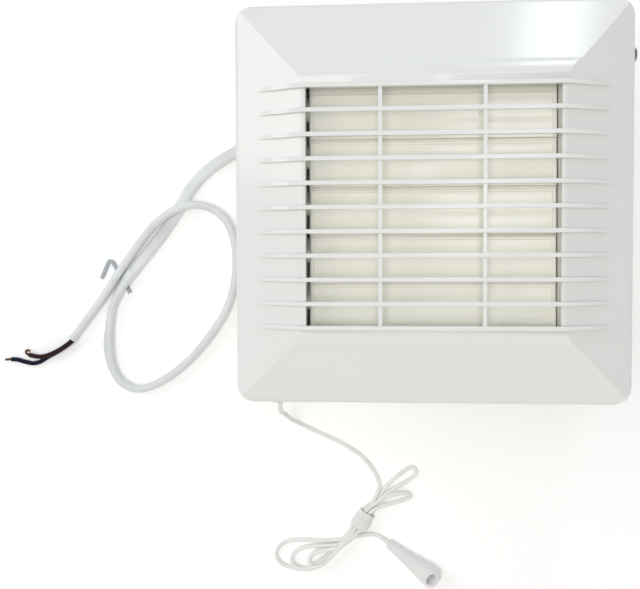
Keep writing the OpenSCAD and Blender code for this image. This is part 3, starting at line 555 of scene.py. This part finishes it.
# tape wound round the hank: a rounded sleeve, and a wider layer over part of it
TAPE_HALF = (4.1, 2.75)
TAPE_RISE = 3.06
TAPE_LAYERS = ((-4.5, 4.5, 0.0), (-4.5, 0.9, 0.35))
SQUARENESS = 0.72
STEPS, SIDES = 26, 40
bm = bmesh.new()
for start, end, out in TAPE_LAYERS:
    w, h = TAPE_HALF[0] + out, TAPE_HALF[1] + out * 0.8
    rings = []
    for i in range(STEPS + 1):
        f = i / STEPS
        s = start + (end - start) * f
        lip = 1 - 0.05 * max(0, 1 - f * 9) - 0.05 * max(0, 1 - (1 - f) * 9)
        ring = []
        for k in range(SIDES):
            a = 2 * math.pi * k / SIDES
            c, sn = math.cos(a), math.sin(a)
            x = math.copysign(abs(c) ** SQUARENESS, c) * w
            y = math.copysign(abs(sn) ** SQUARENESS, sn) * h
            wrinkle = 1 + 0.012 * math.sin(3 * a + s * 1.3) + 0.01 * math.sin(7 * a - s * 2.1)
            across = TIE_SIDE * x * wrinkle * lip
            q = TIE + TIE_DIR * s + across + Vector((0, 0, TAPE_RISE + y * lip))
            ring.append(bm.verts.new(q * MM))
        rings.append(ring)
    for a, b in zip(rings, rings[1:]):
        for k in range(SIDES):
            bm.faces.new((a[k], a[(k + 1) % SIDES], b[(k + 1) % SIDES], b[k]))
bmesh.ops.recalc_face_normals(bm, faces=bm.faces)
sleeve = new_object("hank_tape", bm)
thick = sleeve.modifiers.new("thickness", "SOLIDIFY")
thick.thickness = 0.0003
thick.offset = -1
dress(sleeve, "pull_plastic", "pull_switch", "cord_tie")

# ------------------------------------------------------------------ floor and light
bm = bmesh.new()
bmesh.ops.create_grid(bm, x_segments=1, y_segments=1, size=3)
floor = new_object("floor", bm, smooth=False)
floor.location.z = -0.0001
white = bpy.data.materials.new("floor_white")
white.use_nodes = True
paint = white.node_tree.nodes["Principled BSDF"]
paint.inputs["Base Color"].default_value = (0.97, 0.97, 0.965, 1)
paint.inputs["Roughness"].default_value = 0.8
paint.inputs["Emission Color"].default_value = (1, 1, 1, 1)
paint.inputs["Emission Strength"].default_value = 0.1
floor.data.materials.append(white)


def area(name, at, to, size, power, colour=(1, 1, 1), size_y=None):
    data = bpy.data.lights.new(name, "AREA")
    data.energy = power
    data.color = colour
    data.size = size
    if size_y:
        data.shape = "RECTANGLE"
        data.size_y = size_y
    obj = bpy.data.objects.new(name, data)
    bpy.context.scene.collection.objects.link(obj)
    obj.location = at
    obj.rotation_euler = (Vector(to) - Vector(at)).to_track_quat("-Z", "Y").to_euler()
    return obj


# the overhead lamp lights the surfaces without showing in them
overhead = area("overhead", (-0.15, -0.12, 1.8), (0, 0, 0), 0.8, 12, (1, 0.995, 0.985))
overhead.visible_glossy = False
area("key", (-1.3, 0.5, 1.1), (0, 0, 0), 0.9, 5.5, (1, 0.99, 0.97))
area("window_top", (0.28, 1.54, 0.90), (0.03, 0.06, 0.09), 0.13, 0.8, (0.95, 0.98, 1), 0.34)
area("window_roof", (0.20, 0.55, 1.6), (0.03, 0.03, 0.09), 0.22, 1.1, (1, 1, 1), 0.5)
area("sky", (-0.1, 1.9, 0.9), (0, 0, 0), 1.2, 2.6, (0.56, 0.82, 1))
area("fill", (0.2, -1.6, 1.1), (0, 0, 0), 1.2, 2.7, (1, 0.76, 0.46))
area("window_blades", (0.21, 0.10, 1.6), (0.04, 0.01, 0.09), 0.12, 0.4, (1, 1, 1), 0.5)

world = bpy.data.worlds.new("world")
bpy.context.scene.world = world
world.use_nodes = True
room = world.node_tree.nodes["Background"]
room.inputs["Color"].default_value = (0.97, 0.98, 1, 1)
room.inputs["Strength"].default_value = 0.42
bpy.context.scene.view_settings.view_transform = "Standard"
